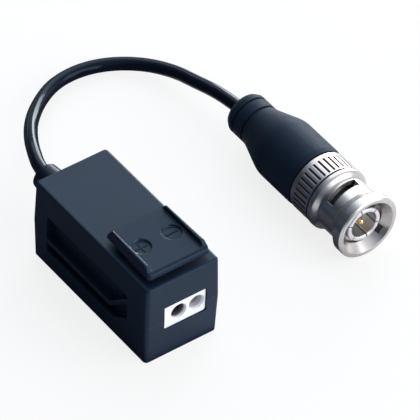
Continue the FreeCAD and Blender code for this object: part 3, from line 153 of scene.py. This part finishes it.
def moulded(name, colour, roughness, gloss=0.5, tint=(1.0, 1.0, 1.0), mottle_mm=6.0,
            mottle=0.12, grain_mm=0.25, grain_depth_mm=0.01, edge_mm=0.25, edge_light=0.35,
            edge_gloss=0.0):
    """Moulded plastic: mottled colour, fine tool grain, and edges rubbed smoother and paler."""
    uneven = 0.06
    edge_polish = 0.5
    edge_gain = 2 * edge_light
    edge_lift = 0.01 * edge_light
    material = bpy.data.materials.new(name)
    material.use_nodes = True
    tree = material.node_tree
    place = add_node(tree, "ShaderNodeTexCoord").outputs["Object"]
    blotch = add_node(tree, "ShaderNodeTexNoise",
                      {"Vector": place, "Scale": 1000 / mottle_mm, "Detail": 4.0})
    grain = add_node(tree, "ShaderNodeTexNoise",
                     {"Vector": place, "Scale": 1000 / grain_mm, "Detail": 3.0,
                      "Roughness": 0.6}).outputs["Fac"]
    darker = [channel * (1 - mottle) for channel in colour]
    lighter = [channel * (1 + mottle) for channel in colour]
    mottled = add_node(tree, "ShaderNodeMix",
                       {"Factor": blotch.outputs["Fac"], "A": (*darker, 1.0),
                        "B": (*lighter, 1.0)}, data_type="RGBA")
    rounded, edge = find_edges(tree, edge_mm, full_edge=0.78)
    rubbed = add_node(tree, "ShaderNodeMath", {0: edge, 1: grain},
                      operation="MULTIPLY").outputs["Value"]
    rubbed_colour = [min(1.0, channel * (1 + edge_gain) + edge_lift) for channel in colour]
    worn = add_node(tree, "ShaderNodeMix",
                    {"Factor": rubbed, "A": mottled.outputs["Result"],
                     "B": (*rubbed_colour, 1.0)}, data_type="RGBA")
    dull = add_node(tree, "ShaderNodeMapRange",
                    {"Value": grain, "To Min": roughness - uneven,
                     "To Max": roughness + uneven})
    polish = add_node(tree, "ShaderNodeMath",
                      {0: rubbed, 1: -edge_polish * roughness, 2: dull.outputs["Result"]},
                      operation="MULTIPLY_ADD")
    bump = add_node(tree, "ShaderNodeBump",
                    {"Distance": grain_depth_mm / 1000, "Height": grain,
                     "Normal": rounded.outputs["Normal"]})
    shine = add_node(tree, "ShaderNodeMath", {0: rubbed, 1: edge_gloss, 2: gloss},
                     operation="MULTIPLY_ADD")
    feed(tree, tree.nodes["Principled BSDF"],
         {"Base Color": worn.outputs["Result"], "Roughness": polish.outputs["Value"],
          "Normal": bump.outputs["Normal"], "Specular Tint": (*tint, 1.0),
          "Specular IOR Level": shine.outputs["Value"]})
    return material


def wear(piece, material):
    """Gives every material slot of a piece the same finish."""
    if not piece.material_slots:
        piece.data.materials.append(material)
    for slot in piece.material_slots:
        slot.material = material


jacket_black = moulded("jacket_black", colour=(0.005, 0.006, 0.012), roughness=0.12,
                       gloss=0.20, tint=(0.48, 0.74, 1.0), mottle_mm=9.0, grain_mm=0.9,
                       grain_depth_mm=0.005, edge_light=0.0)
wear(pigtail, jacket_black)


# Housing. Two halves of blue-black ABS, moulded with a fine matt grain, meet at a lap seam
# half way up; the hood carries the terminal window and the sockets of the side interlock.
housing_blue_black = moulded("housing_blue_black", colour=(0.006, 0.012, 0.028),
                             roughness=0.44, gloss=0.33, tint=(0.47, 0.76, 1.0),
                             mottle_mm=7.0, mottle=0.10, grain_mm=0.22, grain_depth_mm=0.008,
                             edge_mm=0.3, edge_light=0.4, edge_gloss=0.3)
wear(node["upper_shell"], housing_blue_black)
wear(node["lower_shell"], housing_blue_black)


# Press lever. A scooped ABS plate with a rim at each side tips on a pin in the hood;
# its two round pads carry the polarity marks, raised in the same moulding.
lever_blue_black = moulded("lever_blue_black", colour=(0.006, 0.0115, 0.027),
                           roughness=0.32, gloss=0.26, tint=(0.47, 0.76, 1.0),
                           mottle_mm=5.0, mottle=0.08, grain_mm=0.2, grain_depth_mm=0.004,
                           edge_mm=0.52, edge_light=0.7, edge_gloss=1.4)
wear(node["press_lever"], lever_blue_black)
rim_rise = 0.00145
pad_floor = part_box("press_lever")[1].z - rim_rise
pad_back = -0.0100
pad_across = {"plus": -0.0037, "minus": 0.0037}
stroke_width = 0.00036
stroke_height = 0.00012
stroke_reach = 0.00122
stroke_edge = 0.00004
mark_blue_black = moulded("mark_blue_black", colour=(0.005, 0.010, 0.022), roughness=0.40,
                          gloss=0.17, tint=(0.47, 0.76, 1.0), mottle_mm=5.0, mottle=0.08,
                          grain_mm=0.2, grain_depth_mm=0.003, edge_mm=0.06, edge_light=0.5)
for sign, across in pad_across.items():
    bpy.ops.object.select_all(action="DESELECT")
    bpy.ops.mesh.primitive_cube_add(size=1.0, calc_uvs=False,
                                    location=(across, pad_back, pad_floor))
    mark = bpy.context.object
    mark.name = "polarity_" + sign
    mark.scale = (stroke_width, stroke_width, stroke_height * 2)
    bpy.ops.object.transform_apply(location=False, rotation=False, scale=True)
    directions = [(1, 0), (-1, 0)] + ([(0, 1), (0, -1)] if sign == "plus" else [])
    bpy.ops.object.mode_set(mode="EDIT")
    bpy.ops.mesh.select_mode(type="FACE")
    bpy.ops.mesh.select_all(action="DESELECT")
    bpy.ops.object.mode_set(mode="OBJECT")
    for face in mark.data.polygons:
        face.select = (round(face.normal.x), round(face.normal.y)) in directions
    bpy.ops.object.mode_set(mode="EDIT")
    bpy.ops.mesh.extrude_faces_move(TRANSFORM_OT_shrink_fatten={"value": stroke_reach})
    bpy.ops.object.mode_set(mode="OBJECT")
    soften = mark.modifiers.new("soften", "BEVEL")
    soften.width = stroke_edge
    soften.segments = 2
    bpy.ops.object.modifier_apply(modifier="soften")
    bpy.ops.object.transform_apply(location=True, rotation=False, scale=False)
    wear(mark, mark_blue_black)
    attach(mark, "lever")


# Terminal block. One moulding of white nylon shows in the hood's window, with a funnel
# for each stripped wire.
terminal_white = moulded("terminal_white", colour=(0.93, 0.95, 1.0), roughness=0.42,
                         mottle_mm=3.0, mottle=0.03, grain_mm=0.3, grain_depth_mm=0.006,
                         edge_mm=0.2, edge_light=0.1)
wear(node["release_button_plus"], terminal_white)
wear(node["release_button_minus"], terminal_white)

# The block itself is the same nylon; its throats are painted dark as shade, the plus one almost
# black.
pole_across = {"plus": -0.0008, "minus": 0.00355}
throat_height = 0.0104
throat_radius = 0.00195
throat_front = -0.0189
throat_back = -0.0182
painted_throat_shade = {"plus": (0.035, 0.030, 0.042), "minus": (0.40, 0.41, 0.44)}
terminal_block = terminal_white.copy()
terminal_block.name = "terminal_block"
block = terminal_block.node_tree
block_colour = block.nodes["Principled BSDF"].inputs["Base Color"].links[0].from_socket
block_place = add_node(block, "ShaderNodeTexCoord").outputs["Object"]
block_axes = add_node(block, "ShaderNodeSeparateXYZ", {"Vector": block_place})
throat_depth = add_node(block, "ShaderNodeMapRange",
                        {"Value": block_axes.outputs["Y"], "From Min": throat_front,
                         "From Max": throat_back}, interpolation_type="SMOOTHSTEP")
for sign, across in pole_across.items():
    from_axis = add_node(block, "ShaderNodeVectorMath",
                         {0: block_place, 1: (across, 0.0, throat_height)},
                         operation="SUBTRACT")
    flat = add_node(block, "ShaderNodeVectorMath",
                    {0: from_axis.outputs["Vector"], 1: (1.0, 0.0, 1.0)},
                    operation="MULTIPLY")
    radius = add_node(block, "ShaderNodeVectorMath", {0: flat.outputs["Vector"]},
                      operation="LENGTH")
    within = add_node(block, "ShaderNodeMath", {0: radius.outputs["Value"], 1: throat_radius},
                      operation="LESS_THAN")
    share = add_node(block, "ShaderNodeMath",
                     {0: within.outputs["Value"], 1: throat_depth.outputs["Result"]},
                     operation="MULTIPLY")
    block_colour = add_node(block, "ShaderNodeMix",
                            {"Factor": share.outputs["Value"], "A": block_colour,
                             "B": (*painted_throat_shade[sign], 1.0)},
                            data_type="RGBA").outputs["Result"]
feed(block, block.nodes["Principled BSDF"], {"Base Color": block_colour})
wear(node["terminal_body"], terminal_block)


# Clamps. Bent spring-steel leaves press each wire on a tinned brass blade in the terminal;
# the hinge pin is ground steel, pressed into the hood's bosses.
def metal(name, colour, roughness, brush_mm=(0.4, 0.4, 0.4), brush_depth_mm=0.003,
          tarnish=(0.5, 0.5, 0.5), tarnish_mm=4.0, tarnish_share=0.15, edge_mm=0.15,
          hollow_shade=(0.10, 0.09, 0.09), hollow_shade_mm=0.7, hollow_shade_share=0.5, hollow_shade_from=-1.0,
          hollow_shade_range=(0.93, 0.45), grip=None, grip_edge_mm=0.2):
    """Plated or bare metal: stretched machining marks, cloudy tarnish and bright worn edges.

    Hollows behind a given Y are painted dark as shade, and so are the rounder edges of a grip
    on the Y axis.
    """
    uneven = 0.07
    smoothest = 0.02
    edge_gain = 1.15
    edge_lift = 0.03
    material = bpy.data.materials.new(name)
    material.use_nodes = True
    tree = material.node_tree
    place = add_node(tree, "ShaderNodeTexCoord").outputs["Object"]
    stretch = add_node(tree, "ShaderNodeMapping",
                       {"Vector": place, "Scale": [1000 / length for length in brush_mm]})
    brush = add_node(tree, "ShaderNodeTexNoise",
                     {"Vector": stretch.outputs["Vector"], "Scale": 1.0,
                      "Detail": 5.0}).outputs["Fac"]
    cloud = add_node(tree, "ShaderNodeTexNoise",
                     {"Vector": place, "Scale": 1000 / tarnish_mm, "Detail": 5.0})
    spread = add_node(tree, "ShaderNodeMapRange",
                      {"Value": cloud.outputs["Fac"], "From Min": 0.35, "From Max": 0.75,
                       "To Max": tarnish_share})
    rounded, edge = find_edges(tree, edge_mm, full_edge=0.7)
    tarnished = add_node(tree, "ShaderNodeMix",
                         {"Factor": spread.outputs["Result"], "A": (*colour, 1.0),
                          "B": (*tarnish, 1.0)}, data_type="RGBA")
    bright_colour = [min(1.0, channel * edge_gain + edge_lift) for channel in colour]
    bright = add_node(tree, "ShaderNodeMix",
                      {"Factor": edge, "A": tarnished.outputs["Result"],
                       "B": (*bright_colour, 1.0)}, data_type="RGBA")
    # Painted shade: the colour darkens where the occlusion mask finds surfaces close by.
    hollow = add_node(tree, "ShaderNodeAmbientOcclusion", {"Distance": hollow_shade_mm / 1000},
                      samples=8)
    hollow_shade_mask = add_node(tree, "ShaderNodeMapRange",
                    {"Value": hollow.outputs["AO"], "From Min": hollow_shade_range[0],
                     "From Max": hollow_shade_range[1], "To Max": hollow_shade_share})
    along = add_node(tree, "ShaderNodeSeparateXYZ", {"Vector": place}).outputs["Y"]
    behind = add_node(tree, "ShaderNodeMath", {0: along, 1: hollow_shade_from},
                      operation="GREATER_THAN")
    dark = add_node(tree, "ShaderNodeMath",
                    {0: hollow_shade_mask.outputs["Result"], 1: behind.outputs["Value"]},
                    operation="MULTIPLY").outputs["Value"]
    if grip:
        in_grip = add_node(tree, "ShaderNodeMath",
                           {0: along, 1: (grip[0] + grip[1]) / 2, 2: (grip[1] - grip[0]) / 2},
                           operation="COMPARE").outputs["Value"]
        rounding = add_node(tree, "ShaderNodeMath",
                            {0: in_grip, 1: grip_edge_mm / 1000, 2: edge_mm / 1000},
                            operation="MULTIPLY_ADD")
        feed(tree, rounded, {"Radius": rounding.outputs["Value"]})
        # The grip's rounder tooth edges are painted dark as shade too.
        rolled = add_node(tree, "ShaderNodeMath", {0: edge, 1: in_grip}, operation="MULTIPLY")
        dark = add_node(tree, "ShaderNodeMath", {0: dark, 1: rolled.outputs["Value"]},
                        operation="MAXIMUM").outputs["Value"]
    shaded = add_node(tree, "ShaderNodeMix",
                      {"Factor": dark, "A": bright.outputs["Result"], "B": (*hollow_shade, 1.0)},
                      data_type="RGBA")
    dull = add_node(tree, "ShaderNodeMapRange",
                    {"Value": brush, "To Min": max(smoothest, roughness - uneven),
                     "To Max": roughness + uneven})
    bump = add_node(tree, "ShaderNodeBump",
                    {"Distance": brush_depth_mm / 1000, "Height": brush,
                     "Normal": rounded.outputs["Normal"]})
    feed(tree, tree.nodes["Principled BSDF"],
         {"Metallic": 1.0, "Base Color": shaded.outputs["Result"],
          "Roughness": dull.outputs["Result"], "Normal": bump.outputs["Normal"]})
    return material


spring_steel = metal("spring_steel", colour=(0.56, 0.57, 0.60), roughness=0.30,
                     brush_mm=(0.1, 1.2, 1.2))
tinned_brass = metal("tinned_brass", colour=(0.80, 0.74, 0.62), roughness=0.34,
                     brush_mm=(0.2, 0.8, 0.8), tarnish=(0.55, 0.42, 0.24))
ground_steel = metal("ground_steel", colour=(0.60, 0.60, 0.62), roughness=0.22,
                     brush_mm=(1.5, 0.06, 0.06))
wear(node["lever_pin"], ground_steel)
for sign, across in pole_across.items():
    wear(node["contact_" + sign], tinned_brass)
    wear(node["clamp_spring_" + sign], spring_steel)
    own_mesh(node["clamp_spring_" + sign])


# Circuit. A green glass-epoxy board carries the ferrite core with its two enamelled
# windings. The surge suppressor, the ceramic capacitor and the matching resistor are
# dipped in blue lacquer, and the cable's two conductors run in to the board.
board_green = moulded("board_green", colour=(0.016, 0.12, 0.045), roughness=0.30,
                      mottle_mm=1.2, mottle=0.3, grain_mm=0.12, grain_depth_mm=0.004,
                      edge_light=0.6)
ferrite_grey = moulded("ferrite_grey", colour=(0.035, 0.036, 0.038), roughness=0.62,
                       mottle_mm=0.8, mottle=0.3, grain_mm=0.15, grain_depth_mm=0.015,
                       edge_light=0.8)
enamelled_copper = metal("enamelled_copper", colour=(0.72, 0.28, 0.10), roughness=0.26,
                         brush_mm=(0.6, 0.6, 0.6), tarnish=(0.42, 0.12, 0.04),
                         tarnish_mm=1.5, tarnish_share=0.5)
dipped_blue = moulded("dipped_blue", colour=(0.02, 0.06, 0.30), roughness=0.25,
                      mottle_mm=1.5, mottle=0.15, grain_mm=0.5, grain_depth_mm=0.012,
                      edge_light=0.2)
core_insulation = moulded("core_insulation", colour=(0.62, 0.60, 0.55), roughness=0.45,
                          mottle=0.05)
wear(node["circuit_board"], board_green)
wear(node["balun_core"], ferrite_grey)
wear(node["primary_winding"], enamelled_copper)
wear(node["secondary_winding"], enamelled_copper)
for part in ("surge_suppressor", "coupling_capacitor", "matching_resistor"):
    wear(node[part], dipped_blue)
wear(node["signal_wire"], core_insulation)
wear(node["ground_wire"], enamelled_copper)


# Strain relief and boot. Both are soft PVC moulded on the cable: the collar is gripped in
# the rear wall, and the boot hides the crimp and runs out in ring grooves.
soft_black = moulded("soft_black", colour=(0.006, 0.009, 0.016), roughness=0.30, gloss=0.2,
                     tint=(0.56, 0.78, 1.0), mottle_mm=4.0, grain_mm=0.3,
                     grain_depth_mm=0.006, edge_light=0.3)
boot_navy = moulded("boot_navy", colour=(0.006, 0.012, 0.027), roughness=0.60, gloss=0.26,
                    tint=(0.46, 0.74, 1.0), mottle_mm=8.0, grain_mm=0.35,
                    grain_depth_mm=0.006, edge_light=0.3)
wear(node["strain_relief"], soft_black)
wear(node["plug_boot"], boot_navy)


# Plug. Turned brass under bright nickel: the slotted contact and neck, and the knurled
# coupling nut with its bayonet slots; inside are the PTFE insulator and the gold pin.
# The knurl grooves, the bayonet slots and the grip's tooth edges are painted dark as shade.
nickel = metal("nickel", colour=(0.62, 0.60, 0.595), roughness=0.31,
               brush_mm=(3.0, 0.10, 3.0), brush_depth_mm=0.0010, tarnish=(0.44, 0.37, 0.33),
               tarnish_mm=5.0, tarnish_share=0.5, edge_mm=0.06, hollow_shade=(0.12, 0.085, 0.11),
               hollow_shade_share=0.95, hollow_shade_from=-0.0145, hollow_shade_range=(0.97, 0.70),
               grip=(-0.0074, -0.0034))
contact_silver = metal("contact_silver", colour=(0.80, 0.79, 0.81), roughness=0.38,
                       tarnish=(0.5, 0.45, 0.42))
wave_steel = metal("wave_steel", colour=(0.55, 0.55, 0.56), roughness=0.3)
gold = metal("gold", colour=(1.0, 0.72, 0.30), roughness=0.16, tarnish=(0.80, 0.50, 0.20),
             tarnish_mm=0.6)
ptfe = moulded("ptfe", colour=(0.80, 0.79, 0.76), roughness=0.5, mottle_mm=1.5,
               mottle=0.04, grain_mm=0.15, grain_depth_mm=0.006, edge_light=0.05)
gasket_rubber = moulded("gasket_rubber", colour=(0.03, 0.012, 0.010), roughness=0.6,
                        grain_mm=0.15, edge_light=0.2)
wear(node["coupling_nut"], nickel)
wear(node["plug_body"], contact_silver)
wear(node["crimp_ferrule"], nickel)
wear(node["thrust_washer"], wave_steel)
wear(node["wave_spring"], wave_steel)
wear(node["retaining_ring"], wave_steel)
wear(node["plug_insulator"], ptfe)
wear(node["centre_pin"], gold)
wear(node["gasket"], gasket_rubber)


# Floor and light. The part lies on a white sheet, which stays white round the shadow. One
# softbox stands in front at the right, a wide one high behind, and a small one low at the
# back right, for the bright lines along the right-hand edges.
sheet_below = 0.0001
sheet_lift = 0.82
bpy.ops.object.select_all(action="DESELECT")
bpy.ops.mesh.primitive_plane_add(size=4.0, location=(0.0, 0.0, -sheet_below))
floor = bpy.context.object
floor.name = "floor_sheet"
sheet_white = bpy.data.materials.new("sheet_white")
sheet_white.use_nodes = True
sheet = sheet_white.node_tree
sheet_shader = sheet.nodes["Principled BSDF"]
feed(sheet, sheet_shader, {"Base Color": (0.93, 0.93, 0.93, 1.0), "Roughness": 0.9,
                           "Specular IOR Level": 0.0})
sheet_glow = add_node(sheet, "ShaderNodeEmission")
seen_straight = add_node(sheet, "ShaderNodeLightPath").outputs["Is Camera Ray"]
sheet_share = add_node(sheet, "ShaderNodeMath", {0: seen_straight, 1: sheet_lift},
                       operation="MULTIPLY")
sheet_mix = add_node(sheet, "ShaderNodeMixShader",
                     {"Fac": sheet_share.outputs["Value"], 1: sheet_shader.outputs["BSDF"],
                      2: sheet_glow.outputs["Emission"]})
feed(sheet, sheet.nodes["Material Output"], {"Surface": sheet_mix.outputs["Shader"]})
wear(floor, sheet_white)

# A dark card lies at the left, where only the gloss of the sides meets it: a painted dark
# reflection that stands in for the shaded floor there.
card_above = 0.00002
bpy.ops.mesh.primitive_plane_add(size=1.0, location=(-0.20, 0.13, card_above))
card = bpy.context.object
card.name = "painted_shade_card"
card.scale = (0.48, 0.30, 1.0)
card.visible_camera = False
card.visible_diffuse = False
card.visible_shadow = False
painted_shade_black = bpy.data.materials.new("painted_shade_black")
painted_shade_black.use_nodes = True
feed(painted_shade_black.node_tree, painted_shade_black.node_tree.nodes["Principled BSDF"],
     {"Base Color": (0.10, 0.10, 0.13, 1.0), "Specular IOR Level": 0.0})
wear(card, painted_shade_black)


def softbox(name, direction, distance, size, level, colour=(1.0, 1.0, 1.0)):
    """A square lamp that lights a white sheet facing it to the stated level."""
    lamp = bpy.data.lights.new(name, "AREA")
    lamp.shape = "SQUARE"
    lamp.size = size
    lamp.energy = math.pi ** 2 * distance ** 2 * level
    lamp.color = colour
    box = bpy.data.objects.new(name, lamp)
    scene.collection.objects.link(box)
    middle = Vector((0.02, 0.01, 0.0))
    toward = Vector(direction).normalized()
    box.location = middle + toward * distance
    box.rotation_euler = (-toward).to_track_quat("-Z", "Y").to_euler()


softbox("front_right", direction=(0.46, -0.84, 0.30), distance=0.8, size=0.9, level=1.02)
softbox("wide_back", direction=(0.44, 0.57, 0.69), distance=0.8, size=0.7, level=0.34,
        colour=(0.88, 0.95, 1.0))
softbox("low_back_right", direction=(0.80, 0.57, 0.22), distance=0.7, size=0.32, level=0.55)

# The room is pale towards the right and overhead, and dim and bluish towards the left.
pale_side = (0.72, -0.12, 0.68)
dim_level, pale_level = 0.06, 0.85
dim_blue, pale_white = (0.60, 0.76, 1.0, 1.0), (0.96, 0.98, 1.0, 1.0)
world = bpy.data.worlds.new("studio")
world.use_nodes = True
room = world.node_tree
room_place = add_node(room, "ShaderNodeTexCoord").outputs["Generated"]
room_side = add_node(room, "ShaderNodeVectorMath", {0: room_place, 1: pale_side},
                     operation="DOT_PRODUCT")
room_level = add_node(room, "ShaderNodeMapRange",
                      {"Value": room_side.outputs["Value"], "From Min": -0.3,
                       "From Max": 0.9, "To Min": dim_level, "To Max": pale_level},
                      interpolation_type="SMOOTHSTEP").outputs["Result"]
room_tint = add_node(room, "ShaderNodeMix",
                     {"Factor": room_level, "A": dim_blue, "B": pale_white},
                     data_type="RGBA").outputs["Result"]
feed(room, room.nodes["Background"], {"Strength": room_level, "Color": room_tint})
scene.world = world
